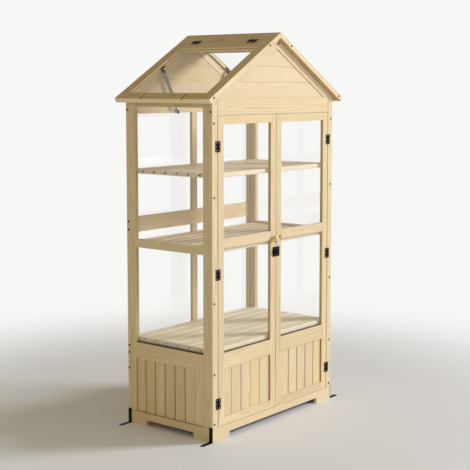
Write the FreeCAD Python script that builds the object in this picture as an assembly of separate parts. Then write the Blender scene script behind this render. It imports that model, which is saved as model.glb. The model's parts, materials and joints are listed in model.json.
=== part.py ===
# Wooden mini greenhouse: a tall cabinet of softwood frames with glazed windows, boarded
# lower panels, three boarded shelves, a pair of doors and a gable roof with two hinged lids.
# Millimetres. X runs along the front, Y from the front to the back, Z up.
# The origin is on the ground, in the middle of the body's plan.
import FreeCAD, Part
import math
import os

V = FreeCAD.Vector

# Body
body_width = 980.0
body_depth = 546.0
end_frame_t = 18.0
side_frame_t = 25.0
post_w = 40.0
side_stile_w = 38.0

# Heights above the ground
base_h = 66.0
panel_rail_low = 334.0
panel_rail_h = 80.0
side_mid_rail_low = 886.0
side_mid_rail_h = 40.0
header_low = 1534.0
header_h = 78.5
side_top_rail_rise = 36.0
back_mid_rail_low = 951.0
back_mid_rail_h = 77.0
mullion_w = 40.0

# Arched base rails
arch_h = 29.0
front_foot = 127.0
side_foot = 102.0
arch_corner_r = 6.0

# Roof
roof_pitch = 30.5
roof_t = 24.0
eave_overhang = 51.0
roof_overhang = 28.0
rake_w = 42.0
ridge_board_w = 82.0
lid_gap = 2.0
lid_member_w = 56.0
lid_pane_depth = 10.0
drain_w = 5.0
drain_depth = 5.0
drain_y = 131.0

# Panes and boards
pane_t = 3.0
pane_bite = 6.0
pane_play = 0.2
board_bite = 7.0
board_play = 0.3
vee = 2.0
tongue_l = 5.0
tongue_t = 4.0
tongue_play = 0.2
door_board_t = 10.0
door_board_recess = 8.0
side_board_t = 12.0
side_board_recess = 7.0
gable_board_t = 15.0
gable_board_cover = 75.0
side_board_cover = 64.0
back_board_cover = 76.0
door_board_cover = 73.0

# Doors
door_gap = 2.0
door_top_gap = 1.0
door_t = 18.0
door_stile_w = 42.0
door_top_rail_h = 40.0
door_mid_rail_low = 913.0
door_mid_rail_h = 46.0
door_panel_rail_low = 340.0
door_panel_rail_h = 77.0
door_bottom_rail_h = 38.0
tenon_l = 12.0
tenon_t = 6.0
tenon_shoulder = 9.0

# Shelves
shelf_t = 22.0
shelf_board_cover = 72.5
shelf_play = 1.5
shelf_vee = 4.0
shelf_groove_relief = 5.0
shelf_tops = {"shelf_bottom": 439.0, "shelf_middle": 914.0, "shelf_top": 1267.0}
block_h = 22.0
block_t = 10.0
block_w = 12.0

# Butt hinges
hinge_l = 51.0
hinge_leaf_w = 18.0
hinge_leaf_t = 1.5
knuckle_r = 3.2
hinge_pin_r = 1.6
running_play = 0.05
knuckle_count = 5
knuckle_play = 0.15
leaf_play = 0.4
door_hinge_heights = [180.0, 794.0, 1392.0]
lid_hinge_y = 180.0

# Knobs and latch
knob_above_rail_edge = 12.0
knob_r = 16.0
knob_depth = 28.0
knob_stem_r = 8.0
knob_dome = 7.0
latch_below_rail = 60.0
latch_plate_w = 27.0
latch_plate_h = 48.0
latch_plate_t = 2.0
latch_guide_w = 5.0
latch_guide_h = 16.0
latch_guide_depth = 11.0
bolt_r = 3.5
bolt_handle_r = 2.5
bolt_handle_l = 12.0
keeper_w = 27.0

# Gas struts of the lids
strut_slope_at = 316.0
strut_depth_in_lid = 31.0
strut_foot_x = 151.5
strut_foot_rise = 3.0
strut_gap_to_lid = 11.0
cylinder_r = 9.0
cylinder_l = 188.0
cylinder_start = 12.0
rod_r = 4.0
eye_r = 8.0
eye_w = 8.0
neck_r = 4.0
stud_r = 3.0
bracket_w = 28.0
bracket_ahead = 12.0
bracket_tongue_w = 12.0
bracket_below_pin = 6.0
foot_plate_w = 16.0
foot_plate_h = 26.0
foot_plate_drop = 5.0
bracket_t = 2.0
bracket_to_pane = 1.0
bracket_to_edge = 1.0
ball_r = 4.5
ball_gap = 0.6

# Ground anchors
anchor_w = 20.0
anchor_t = 2.5
anchor_leg_h = 72.0
anchor_flange_l = 70.0
anchor_hole_r = 3.5
anchor_hole_from_end = 22.0

half_w = body_width / 2
half_d = body_depth / 2
tan_pitch = math.tan(math.radians(roof_pitch))
cos_pitch = math.cos(math.radians(roof_pitch))
sin_pitch = math.sin(math.radians(roof_pitch))
roof_drop = roof_t / cos_pitch
roof_half_l = half_d + roof_overhang
header_top = header_low + header_h
side_top_rail_low = header_low + side_top_rail_rise
ridge_z = header_top + half_w * tan_pitch + roof_drop
eave_x = half_w + eave_overhang
lid_start = ridge_board_w + lid_gap
lid_end = eave_x / cos_pitch
inner_end = half_d - end_frame_t
inner_side = half_w - side_frame_t
side_opening = inner_end - side_stile_w
knob_z = door_mid_rail_low + knob_above_rail_edge
latch_z = door_mid_rail_low - latch_below_rail
strut_foot_z = header_low + strut_foot_rise
post_inner = half_w - post_w


def box(x, y, z):
    lows = [min(x), min(y), min(z)]
    return Part.makeBox(abs(x[1] - x[0]), abs(y[1] - y[0]), abs(z[1] - z[0]), V(*lows))


def prism(points, along):
    wire = Part.makePolygon(points + [points[0]])
    return Part.Face(wire).extrude(along)


def xz_prism(points, y0, y1):
    return prism([V(x, y0, z) for x, z in points], V(0, y1 - y0, 0))


def mirror_x(shape):
    return shape.mirror(V(0, 0, 0), V(1, 0, 0))


def mirror_y(shape):
    return shape.mirror(V(0, 0, 0), V(0, 1, 0))


def export(name, shapes):
    shape = shapes[0] if len(shapes) == 1 else Part.makeCompound(shapes)
    shape.exportStep("parts/" + name + ".step")


class Plane:
    """A flat frame's own directions: u across, v up or down the slope, w from its outer face inwards."""

    def __init__(self, u_axis, v_axis, w_axis, face, inward):
        self.axes = (u_axis, v_axis, w_axis)
        self.face = face
        self.inward = inward

    def at(self, u, v, w):
        spot = [0.0, 0.0, 0.0]
        spot[self.axes[0]] = u
        spot[self.axes[1]] = v
        spot[self.axes[2]] = self.face + self.inward * w
        return V(*spot)

    def slab(self, u, v, w):
        a = self.at(u[0], v[0], w[0])
        b = self.at(u[1], v[1], w[1])
        return box((a.x, b.x), (a.y, b.y), (a.z, b.z))

    def board(self, outline, v):
        along = self.at(0, v[1], 0) - self.at(0, v[0], 0)
        return prism([self.at(u, v[0], w) for u, w in outline], along)


def board_outline(u0, u1, thickness, recess, ends, vee_w, relief):
    """The section of a tongued and grooved board, with a small vee where two boards meet."""
    first, last = ends
    mid = recess + thickness / 2
    half_tongue = tongue_t / 2
    half_groove = half_tongue + tongue_play
    back = recess + thickness
    if first:
        left = [(u0, recess), (u0, back)]
    else:
        slot = u0 + tongue_l + tongue_play + relief
        left = [(u0 + vee_w, recess), (u0, recess + vee_w), (u0, mid - half_groove), (slot, mid - half_groove)]
        left += [(slot, mid + half_groove), (u0, mid + half_groove), (u0, back)]
    if last:
        right = [(u1, back), (u1, recess)]
    else:
        tip = u1 + tongue_l
        right = [(u1, back), (u1, mid + half_tongue), (tip, mid + half_tongue), (tip, mid - half_tongue)]
        right += [(u1, mid - half_tongue), (u1, recess + vee_w), (u1 - vee_w, recess)]
    return left + right


def board_row(plane, u, v, cover, thickness, recess, vee_w=vee, relief=0):
    """Boards of one width side by side, the last one as wide as the room that is left."""
    count = round((u[1] - u[0]) / cover)
    row = []
    for i in range(count):
        last = i == count - 1
        u0 = u[0] + i * cover
        u1 = u[1] if last else u0 + cover
        outline = board_outline(u0, u1, thickness, recess, (i == 0, last), vee_w, relief)
        row.append(plane.board(outline, v))
    return row


def glazed(plane, u, v, pane_depth):
    """A pane in a window of the given size, and the groove that it needs in the members round it."""
    wide = (u[0] - pane_bite, u[1] + pane_bite)
    tall = (v[0] - pane_bite, v[1] + pane_bite)
    pane = plane.slab(wide, tall, (pane_depth, pane_depth + pane_t))
    groove_wide = (wide[0] - pane_play, wide[1] + pane_play)
    groove_tall = (tall[0], tall[1] + pane_play)
    groove = plane.slab(groove_wide, groove_tall, (pane_depth - pane_play, pane_depth + pane_t + pane_play))
    return pane, groove


def boarded(plane, u, v, cover, thickness, recess, frame_t):
    """Boards in a rebate of the members round them, and that rebate."""
    wide = (u[0] - board_bite + board_play, u[1] + board_bite - board_play)
    tall = (v[0] - board_bite, v[1] + board_bite - board_play)
    boards = board_row(plane, wide, tall, cover, thickness, recess)
    rebate_wide = (u[0] - board_bite, u[1] + board_bite)
    rebate_tall = (v[0] - board_bite, v[1] + board_bite)
    return boards, plane.slab(rebate_wide, rebate_tall, (recess, frame_t))


def cut_all(members, cutters):
    done = []
    for member in members:
        for cutter in cutters:
            if member.BoundBox.intersect(cutter.BoundBox):
                member = member.cut(cutter)
        done.append(member)
    return done


def underside_z(x):
    return ridge_z - roof_drop - abs(x) * tan_pitch


def under_roof():
    reach = 2 * half_w
    points = [(-reach, 0), (reach, 0), (reach, underside_z(reach)), (0, underside_z(0))]
    points.append((-reach, underside_z(reach)))
    return xz_prism(points, -body_depth, body_depth)


def arched_rail(plane, u, foot, thickness):
    """A base board cut away below between its two feet, with rounded inner corners."""
    rail = plane.slab(u, (0, base_h), (0, thickness))
    arch = plane.slab((u[0] + foot, u[1] - foot), (-arch_h, arch_h), (-1, thickness + 1))
    depth_axis = plane.axes[2]
    corners = []
    for edge in arch.Edges:
        span = edge.BoundBox
        lengths = (span.XLength, span.YLength, span.ZLength)
        if lengths[depth_axis] > thickness and span.ZMin > arch_h / 2:
            corners.append(edge)
    return rail.cut(arch.makeFillet(arch_corner_r, corners))


front = Plane(0, 2, 1, -half_d, 1)
back = Plane(0, 2, 1, half_d, -1)
left = Plane(1, 2, 0, -half_w, 1)
slope = Plane(1, 0, 2, 0, -1)
roof_space = under_roof()


def end_frame(plane):
    """The posts, base board, header, rakes and gable boards that the front and the back have alike."""
    post = plane.slab((-half_w, -post_inner), (base_h, header_top), (0, end_frame_t)).common(roof_space)
    posts = [post, mirror_x(post)]
    base = arched_rail(plane, (-half_w, half_w), front_foot, end_frame_t)
    header = plane.slab((-post_inner, post_inner), (header_low, header_top), (0, end_frame_t))
    rake_drop = rake_w / cos_pitch
    low_apex = underside_z(0) - rake_drop
    foot_out = (underside_z(0) - header_top) / tan_pitch
    foot_in = (low_apex - header_top) / tan_pitch
    y0 = plane.at(0, 0, 0).y
    y1 = plane.at(0, 0, end_frame_t).y
    outline = [(0, underside_z(0)), (foot_out, header_top), (foot_in, header_top), (0, low_apex)]
    rake = xz_prism(outline, y0, y1)
    rakes = [mirror_x(rake), rake]
    triangle = xz_prism([(-foot_in, header_top), (foot_in, header_top), (0, low_apex)], y0, y1)
    return posts, base, header, rakes, gable_boards(plane, triangle, low_apex)


def gable_boards(plane, triangle, low_apex):
    flat = Plane(2, 0, 1, plane.face, plane.inward)
    rows = math.ceil((low_apex - header_top) / gable_board_cover)
    tall = (header_top, header_top + rows * gable_board_cover)
    boards = board_row(
        flat, tall, (-half_w, half_w), gable_board_cover, gable_board_t, end_frame_t - gable_board_t)
    return [board.common(triangle) for board in boards]


def side_frame():
    """The left side: two stiles, top, middle and panel rails, arched base, boards and panes."""
    opening = (-side_opening, side_opening)
    stiles = [
        left.slab((-inner_end, -side_opening), (base_h, ridge_z), (0, side_frame_t)),
        left.slab((side_opening, inner_end), (base_h, ridge_z), (0, side_frame_t)),
    ]
    mid_top = side_mid_rail_low + side_mid_rail_h
    panel_rail_top = panel_rail_low + panel_rail_h
    window_rails = [
        left.slab(opening, (side_mid_rail_low, mid_top), (0, side_frame_t)),
        left.slab(opening, (side_top_rail_low, ridge_z), (0, side_frame_t)),
    ]
    panel_rail = [left.slab(opening, (panel_rail_low, panel_rail_top), (0, side_frame_t))]
    base = [arched_rail(left, (-inner_end, inner_end), side_foot, side_frame_t)]
    pane_depth = (side_frame_t - pane_t) / 2
    low_pane, low_groove = glazed(left, opening, (panel_rail_top, side_mid_rail_low), pane_depth)
    top_pane, top_groove = glazed(left, opening, (mid_top, side_top_rail_low), pane_depth)
    boards, rebate = boarded(
        left, opening, (base_h, panel_rail_low), side_board_cover, side_board_t, side_board_recess,
        side_frame_t)
    cutters = [low_groove, top_groove, rebate]
    trimmed = {
        "stiles": [s.common(roof_space) for s in cut_all(stiles, cutters)],
        "window_rails": [r.common(roof_space) for r in cut_all(window_rails, cutters)],
        "panel_rail": cut_all(panel_rail, cutters),
        "base_rail": cut_all(base, cutters),
        "boards": boards,
        "panes": [low_pane, top_pane],
    }
    return trimmed


def back_frame(posts, base, header):
    """The back: posts, base, two cross rails, a mullion above and below, panes and boards."""
    t = (0, end_frame_t)
    across = (-post_inner, post_inner)
    mid_top = back_mid_rail_low + back_mid_rail_h
    panel_rail_top = panel_rail_low + panel_rail_h
    half_mullion = mullion_w / 2
    cross_rails = [
        back.slab(across, (panel_rail_low, panel_rail_top), t),
        back.slab(across, (back_mid_rail_low, mid_top), t),
    ]
    mullions = [
        back.slab((-half_mullion, half_mullion), (panel_rail_top, back_mid_rail_low), t),
        back.slab((-half_mullion, half_mullion), (mid_top, header_low), t),
    ]
    pane_depth = (end_frame_t - pane_t) / 2
    panes = []
    cutters = []
    for low, high in ((panel_rail_top, back_mid_rail_low), (mid_top, header_low)):
        for u in ((-post_inner, -half_mullion), (half_mullion, post_inner)):
            pane, groove = glazed(back, u, (low, high), pane_depth)
            panes.append(pane)
            cutters.append(groove)
    boards, rebate = boarded(
        back, across, (base_h, panel_rail_low), back_board_cover, side_board_t, side_board_recess,
        end_frame_t)
    cutters.append(rebate)
    return {
        "posts": cut_all(posts, cutters),
        "base_rail": cut_all([base], cutters),
        "header": cut_all([header], cutters),
        "cross_rails": cut_all(cross_rails, cutters),
        "mullions": cut_all(mullions, cutters),
        "boards": boards,
        "panes": panes,
    }


def door():
    """The left door: two full-height stiles, four tenoned rails, two panes and five boards."""
    u0 = -post_inner + door_gap
    u1 = -door_gap / 2
    low = base_h + door_gap
    high = header_low - door_top_gap
    inner = (u0 + door_stile_w, u1 - door_stile_w)
    bottom_top = low + door_bottom_rail_h
    panel_top = door_panel_rail_low + door_panel_rail_h
    mid_top = door_mid_rail_low + door_mid_rail_h
    rail_spans = [
        (low, bottom_top),
        (door_panel_rail_low, panel_top),
        (door_mid_rail_low, mid_top),
        (high - door_top_rail_h, high),
    ]
    stiles = [
        front.slab((u0, inner[0]), (low, high), (0, door_t)),
        front.slab((inner[1], u1), (low, high), (0, door_t)),
    ]
    tenon_depths = ((door_t - tenon_t) / 2, (door_t + tenon_t) / 2)
    rails = []
    for v0, v1 in rail_spans:
        tenon_wide = (inner[0] - tenon_l, inner[1] + tenon_l)
        tenon = front.slab(tenon_wide, (v0 + tenon_shoulder, v1 - tenon_shoulder), tenon_depths)
        stiles = [stile.cut(tenon) for stile in stiles]
        rails.append(front.slab(inner, (v0, v1), (0, door_t)).fuse(tenon).removeSplitter())
    pane_depth = (door_t - pane_t) / 2
    low_pane, low_groove = glazed(front, inner, (panel_top, door_mid_rail_low), pane_depth)
    top_pane, top_groove = glazed(front, inner, (mid_top, high - door_top_rail_h), pane_depth)
    boards, rebate = boarded(
        front, inner, (bottom_top, door_panel_rail_low), door_board_cover, door_board_t,
        door_board_recess, door_t)
    members = cut_all(stiles + rails, [low_groove, top_groove, rebate])
    return members, boards, [low_pane, top_pane]


def on_slope(shape):
    """Tips a piece made flat, with X down the slope from the ridge, onto the right-hand slope."""
    tipped = shape.copy()
    tipped.rotate(V(0, 0, 0), V(0, 1, 0), roof_pitch)
    tipped.translate(V(0, 0, ridge_z))
    return tipped


def ridge_boards():
    reach = ridge_board_w + roof_t
    board = box((-reach, ridge_board_w), (-roof_half_l, roof_half_l), (-roof_t, 0))
    right_half = box((0, half_w), (-body_depth, body_depth), (0, ridge_z))
    board = on_slope(board).common(right_half)
    return [mirror_x(board), board]


def lid():
    """The right-hand lid: two stiles down the slope, two rails, a pane and two drain kerfs."""
    inner_y = roof_half_l - lid_member_w
    across = (-inner_y, inner_y)
    rail_low = lid_end - lid_member_w
    depth = (0, roof_t)
    members = [
        slope.slab((-roof_half_l, -inner_y), (lid_start, lid_end), depth),
        slope.slab((inner_y, roof_half_l), (lid_start, lid_end), depth),
        slope.slab(across, (lid_start, lid_start + lid_member_w), depth),
        slope.slab(across, (rail_low, lid_end), depth),
    ]
    pane, groove = glazed(slope, across, (lid_start + lid_member_w, rail_low), lid_pane_depth)
    kerfs = []
    for y in (-drain_y, drain_y):
        kerf = slope.slab((y - drain_w / 2, y + drain_w / 2), (rail_low, lid_end + 1), (-1, drain_depth))
        kerfs.append(kerf)
    members = [on_slope(m) for m in cut_all(members, [groove] + kerfs)]
    return members, on_slope(pane)


def shelf(top):
    deep = inner_end - shelf_play
    long = inner_side - shelf_play
    flat = Plane(1, 0, 2, top, -1)
    across = (-deep, deep)
    along = (-long, long)
    return board_row(flat, across, along, shelf_board_cover, shelf_t, 0, shelf_vee, shelf_groove_relief)


def shelf_blocks():
    blocks = []
    for top in shelf_tops.values():
        high = top - shelf_t
        block = box((-inner_side, -inner_side + block_t), (-inner_end, -inner_end + block_w), (high - block_h, high))
        for piece in (block, mirror_y(block)):
            blocks += [piece, mirror_x(piece)]
    return blocks


def knuckles(numbers, bore_r):
    pitch = hinge_l / knuckle_count
    tubes = []
    for i in numbers:
        low = -hinge_l / 2 + i * pitch + knuckle_play / 2
        tube = Part.makeCylinder(knuckle_r, pitch - knuckle_play, V(0, 0, low))
        if bore_r:
            tube = tube.cut(Part.makeCylinder(bore_r, pitch, V(0, 0, low)))
        tab = box((0, knuckle_r + leaf_play), (knuckle_r - hinge_leaf_t, knuckle_r), (low, low + pitch - knuckle_play))
        if bore_r:
            tab = tab.cut(Part.makeCylinder(bore_r, pitch, V(0, 0, low)))
        tubes += [tube, tab]
    return tubes


def hinge_leaf(numbers, bore_r):
    leaf = box(
        (knuckle_r + leaf_play, hinge_leaf_w), (knuckle_r - hinge_leaf_t, knuckle_r),
        (-hinge_l / 2, hinge_l / 2))
    return leaf.multiFuse(knuckles(numbers, bore_r)).removeSplitter()


def butt_hinge():
    """A butt hinge about its pin on Z, its leaves lying on the wood on its +Y side."""
    fixed = mirror_x(hinge_leaf(range(0, knuckle_count, 2), 0))
    pin = Part.makeCylinder(hinge_pin_r, hinge_l - knuckle_play, V(0, 0, (knuckle_play - hinge_l) / 2))
    fixed = fixed.fuse(pin).removeSplitter()
    moving = hinge_leaf(range(1, knuckle_count, 2), hinge_pin_r + running_play)
    return fixed, moving


door_pivot_x = -post_inner + door_gap / 2
door_pivot_y = -half_d - knuckle_r
lid_pivot_s = ridge_board_w + lid_gap / 2


def door_hinges():
    fixed, moving = butt_hinge()
    spots = [V(door_pivot_x, door_pivot_y, z) for z in door_hinge_heights]
    return [fixed.translated(p) for p in spots], [moving.translated(p) for p in spots]


def lid_hinges():
    pairs = ([], [])
    for y in (-lid_hinge_y, lid_hinge_y):
        for leaves, leaf in zip(pairs, butt_hinge()):
            leaf.rotate(V(0, 0, 0), V(1, 0, 0), -90)
            leaf.translate(V(lid_pivot_s, y, knuckle_r))
            leaves.append(on_slope(leaf))
    return pairs


def knob():
    """A turned knob on the left door's meeting stile: stem, coved flare, eased rim and domed face."""
    x = -(door_gap + door_stile_w) / 2
    cove_end = knob_depth * 0.6
    rim_end = knob_depth - knob_dome
    points = [(0, 0), (knob_stem_r, 0), (knob_stem_r, cove_end / 3)]
    for step in (1, 2, 3):
        turn = math.radians(90 * step / 3)
        cove_r = knob_r - (knob_r - knob_stem_r) * math.cos(turn)
        points.append((cove_r, cove_end * (1 + 2 * math.sin(turn)) / 3))
    points.append((knob_r, rim_end))
    for step in (1, 2):
        turn = math.radians(90 * step / 3)
        points.append((knob_r * math.cos(turn), rim_end + knob_dome * math.sin(turn)))
    points.append((0, knob_depth))
    outline = [V(r, -out, 0) for r, out in points]
    profile = Part.Face(Part.makePolygon(outline + [outline[0]]))
    turned = Part.Solid(profile.revolve(V(0, 0, 0), V(0, 1, 0), 360))
    return turned.translated(V(x, -half_d, knob_z))


def latch():
    """A small barrel bolt: plate with two guides, the bolt drawn back, and the keeper."""
    edge = door_gap / 2
    face = -half_d
    plate_front = face - latch_plate_t
    mid_y = plate_front - latch_guide_depth / 2
    tall = (latch_z - latch_plate_h / 2, latch_z + latch_plate_h / 2)
    guide_tall = (latch_z - latch_guide_h / 2, latch_z + latch_guide_h / 2)
    guide_deep = (plate_front - latch_guide_depth, plate_front)
    outer = edge + latch_plate_w
    plate = box((-outer, -edge), (plate_front, face), tall)
    for x in ((-outer, -outer + latch_guide_w), (-edge - latch_guide_w, -edge)):
        plate = plate.fuse(box(x, guide_deep, guide_tall))
    keeper = box((edge, edge + keeper_w), (plate_front, face), tall)
    keeper = keeper.fuse(box((edge, edge + 2 * latch_guide_w), guide_deep, guide_tall))
    bore = Part.makeCylinder(bolt_r + running_play, 2 * outer, V(-outer, mid_y, latch_z), V(1, 0, 0))
    bolt = Part.makeCylinder(bolt_r, latch_plate_w, V(-outer, mid_y, latch_z), V(1, 0, 0))
    handle_x = -outer + latch_guide_w + bolt_handle_r + running_play
    handle = Part.makeCylinder(bolt_handle_r, bolt_handle_l, V(handle_x, mid_y, latch_z), V(0, -1, 0))
    bolt = bolt.fuse(handle).removeSplitter()
    return plate.cut(bore).removeSplitter(), bolt, keeper.cut(bore).removeSplitter()


def slope_point(s, depth):
    return V(s * cos_pitch - depth * sin_pitch, 0, ridge_z - s * sin_pitch - depth * cos_pitch)


strut_y = roof_half_l - lid_member_w - strut_gap_to_lid
strut_top = slope_point(strut_slope_at, strut_depth_in_lid) + V(0, strut_y, 0)
strut_foot = V(strut_foot_x, strut_y, strut_foot_z)
strut_line = strut_foot - strut_top
strut_l = strut_line.Length


def along_strut(shape):
    """Turns a piece made down from the origin onto the right-hand strut's line."""
    placed = shape.copy()
    angle = math.degrees(math.atan2(-strut_line.x, -strut_line.z))
    placed.rotate(V(0, 0, 0), V(0, 1, 0), angle)
    placed.translate(strut_top)
    return placed


def strut_pieces():
    """Cylinder with its upper eye, rod with its lower cup, lid bracket and header bracket."""
    down = V(0, 0, -1)
    across = V(0, 1, 0)
    eye = Part.makeCylinder(eye_r, eye_w, V(0, -eye_w / 2, 0), across)
    tube = Part.makeCylinder(cylinder_r, cylinder_l, V(0, 0, -cylinder_start), down)
    neck = Part.makeCylinder(neck_r, cylinder_start + 1, V(0, 0, 0), down)
    bore_start = cylinder_start + 2 * rod_r
    bore = Part.makeCylinder(rod_r + running_play, cylinder_l, V(0, 0, -bore_start), down)
    cylinder = eye.multiFuse([neck, tube]).cut(bore)
    cylinder = cylinder.cut(Part.makeCylinder(stud_r + running_play, eye_w, V(0, -eye_w / 2, 0), across))
    rod_start = bore_start + rod_r
    rod = Part.makeCylinder(rod_r, strut_l - rod_start, V(0, 0, -rod_start), down)
    cup = Part.makeCylinder(eye_r, eye_w, V(0, -eye_w / 2, -strut_l), across)
    rod = rod.fuse(cup).removeSplitter()
    lid_face = strut_y + strut_gap_to_lid
    bar_at = strut_slope_at - bracket_ahead
    bracket_top = lid_pane_depth + pane_t + bracket_to_pane
    flat = (lid_face - bracket_t, lid_face)
    bar = slope.slab(flat, (bar_at - bracket_w / 2, bar_at + bracket_w / 2), (bracket_top, roof_t - bracket_to_edge))
    tongue_u = (strut_slope_at - bracket_tongue_w / 2, strut_slope_at + bracket_tongue_w / 2)
    tongue = slope.slab(flat, tongue_u, (bracket_top, strut_depth_in_lid + bracket_below_pin))
    plate = on_slope(bar.fuse(tongue))
    pin = Part.makeCylinder(stud_r, strut_gap_to_lid + eye_w / 2, V(strut_top.x, lid_face, strut_top.z), -across)
    upper = plate.fuse(pin).removeSplitter()
    foot_tall = (-foot_plate_drop, foot_plate_h - foot_plate_drop)
    foot_plate = box((-foot_plate_w / 2, foot_plate_w / 2), (-bracket_t, 0), foot_tall)
    stud_end = strut_y + eye_w / 2 + ball_gap
    stud_reach = inner_end - stud_end
    stud = Part.makeCylinder(stud_r, stud_reach, V(0, 0, 0), V(0, -1, 0))
    ball = Part.makeCylinder(ball_r, ball_r, V(0, ball_r - stud_reach, 0), V(0, -1, 0))
    lower = foot_plate.multiFuse([stud, ball]).removeSplitter()
    lower = lower.translated(V(strut_foot.x, inner_end, strut_foot.z))
    return along_strut(cylinder), along_strut(rod), upper, lower


def anchor():
    """A bent steel strap at the front left corner: a leg up the side and a flange on the ground."""
    outline = [
        (0, 0), (0, anchor_leg_h), (-anchor_t, anchor_leg_h), (-anchor_t, anchor_t),
        (-anchor_flange_l, anchor_t), (-anchor_flange_l, 0),
    ]
    strap = xz_prism([(x - half_w, z) for x, z in outline], -half_d, -half_d + anchor_w)
    hole_x = -half_w - anchor_flange_l + anchor_hole_from_end
    hole = Part.makeCylinder(anchor_hole_r, 2 * anchor_t, V(hole_x, -half_d + anchor_w / 2, -anchor_t / 2))
    return strap.cut(hole)


def build():
    os.makedirs("parts", exist_ok=True)

    posts, base, header, rakes, boards = end_frame(front)
    export("front_posts", posts)
    export("front_base_rail", [base])
    export("front_header", [header])
    export("front_rakes", rakes)
    export("front_gable_boards", boards)

    posts, base, header, rakes, boards = end_frame(back)
    for name, shapes in back_frame(posts, base, header).items():
        export("back_" + name, shapes)
    export("back_rakes", rakes)
    export("back_gable_boards", boards)

    for name, shapes in side_frame().items():
        export("side_left_" + name, shapes)
        export("side_right_" + name, [mirror_x(shape) for shape in shapes])

    members, boards, panes = door()
    for name, shapes in (("frame", members), ("boards", boards), ("panes", panes)):
        export("door_left_" + name, shapes)
        export("door_right_" + name, [mirror_x(shape) for shape in shapes])
    export("door_left_knob", [knob()])
    export("door_right_knob", [mirror_x(knob())])

    export("ridge_boards", ridge_boards())
    members, pane = lid()
    export("lid_right_frame", members)
    export("lid_right_pane", [pane])
    export("lid_left_frame", [mirror_x(member) for member in members])
    export("lid_left_pane", [mirror_x(pane)])

    for name, top in shelf_tops.items():
        export(name, shelf(top))
    export("shelf_blocks", shelf_blocks())

    door_fixed, door_moving = door_hinges()
    lid_fixed, lid_moving = lid_hinges()
    fixed = door_fixed + [mirror_x(leaf) for leaf in door_fixed + lid_fixed] + lid_fixed
    export("hinge_leaves_fixed", fixed)
    export("door_left_hinge_leaves", door_moving)
    export("door_right_hinge_leaves", [mirror_x(leaf) for leaf in door_moving])
    export("lid_right_hinge_leaves", lid_moving)
    export("lid_left_hinge_leaves", [mirror_x(leaf) for leaf in lid_moving])

    plate, bolt, keeper = latch()
    export("latch_plate", [plate])
    export("latch_bolt", [bolt])
    export("latch_keeper", [keeper])

    cylinder, rod, upper, lower = strut_pieces()
    for side, turn in (("right", lambda s: s), ("left", mirror_x)):
        export("strut_" + side + "_cylinder", [turn(cylinder)])
        export("strut_" + side + "_rod", [turn(rod)])
        export("lid_" + side + "_strut_bracket", [turn(upper)])
    export("strut_foot_brackets", [mirror_x(lower), lower])

    strap = anchor()
    straps = [strap, mirror_x(strap)]
    export("ground_anchors", straps + [mirror_y(strap) for strap in straps])
    print("strut", round(strut_l, 2), "top", strut_top, "foot", strut_foot)
    print("pivot door", door_pivot_x, door_pivot_y, "lid", slope_point(lid_pivot_s, -knuckle_r))
    print("anchor holes", half_w + anchor_flange_l - anchor_hole_from_end, half_d - anchor_w / 2)


build()
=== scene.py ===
# %% [markdown]
# # A wooden mini greenhouse
# The greenhouse is a tall cabinet of pale softwood: framed ends and sides, a pair of glazed doors,
# boarded lower panels, three shelves and a gable roof whose two glazed lids hinge at the ridge.
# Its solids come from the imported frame, and this lesson dresses them: every timber gets eased
# edges and grain that runs along it, and the hardware, screws and sheets get their real finishes.

# %% Load the frame
import json
import math
import random
from contextlib import contextmanager

import bmesh
import bpy
import numpy as np
from mathutils import Matrix, Vector

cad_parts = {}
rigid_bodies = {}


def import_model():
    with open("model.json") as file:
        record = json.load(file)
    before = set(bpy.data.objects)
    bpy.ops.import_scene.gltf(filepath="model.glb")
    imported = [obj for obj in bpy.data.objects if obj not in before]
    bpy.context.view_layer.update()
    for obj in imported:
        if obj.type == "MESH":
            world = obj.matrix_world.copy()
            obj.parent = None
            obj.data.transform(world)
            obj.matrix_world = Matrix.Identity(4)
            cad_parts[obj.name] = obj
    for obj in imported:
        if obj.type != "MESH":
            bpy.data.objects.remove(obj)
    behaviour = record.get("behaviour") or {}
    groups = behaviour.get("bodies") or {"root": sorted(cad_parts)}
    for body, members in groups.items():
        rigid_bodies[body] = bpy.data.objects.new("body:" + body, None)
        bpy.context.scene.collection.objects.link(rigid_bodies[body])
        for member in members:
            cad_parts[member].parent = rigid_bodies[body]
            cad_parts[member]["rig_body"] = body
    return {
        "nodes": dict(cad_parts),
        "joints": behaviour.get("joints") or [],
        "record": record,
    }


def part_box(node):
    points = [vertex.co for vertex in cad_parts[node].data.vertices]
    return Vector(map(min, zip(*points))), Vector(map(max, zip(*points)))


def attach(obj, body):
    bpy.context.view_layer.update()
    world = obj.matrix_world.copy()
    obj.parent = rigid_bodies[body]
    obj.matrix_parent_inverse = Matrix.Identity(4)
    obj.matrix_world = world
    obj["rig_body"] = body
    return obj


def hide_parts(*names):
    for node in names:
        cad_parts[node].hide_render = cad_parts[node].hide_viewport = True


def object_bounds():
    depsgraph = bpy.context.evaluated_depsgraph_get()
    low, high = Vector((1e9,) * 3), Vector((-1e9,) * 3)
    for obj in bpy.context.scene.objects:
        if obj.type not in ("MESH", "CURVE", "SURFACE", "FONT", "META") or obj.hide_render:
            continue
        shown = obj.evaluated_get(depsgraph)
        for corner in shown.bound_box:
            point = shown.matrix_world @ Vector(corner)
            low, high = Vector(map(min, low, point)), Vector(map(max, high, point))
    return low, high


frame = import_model()
nodes = frame["nodes"]
cad_box = [list(corner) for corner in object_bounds()]
print(len(nodes), "solids' nodes; box", [[round(v, 3) for v in corner] for corner in cad_box])

# %% [markdown]
# Colours are written as hex values, the way a paint chart gives them, but Blender's shaders work
# in linear light. One function turns one into the other.

# %% A colour from its hex value
def colour(code):
    parts = [int(code[i:i + 2], 16) / 255 for i in (1, 3, 5)]
    linear = [p / 12.92 if p <= 0.04045 else ((p + 0.055) / 1.055) ** 2.4 for p in parts]
    return (*linear, 1.0)


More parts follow.
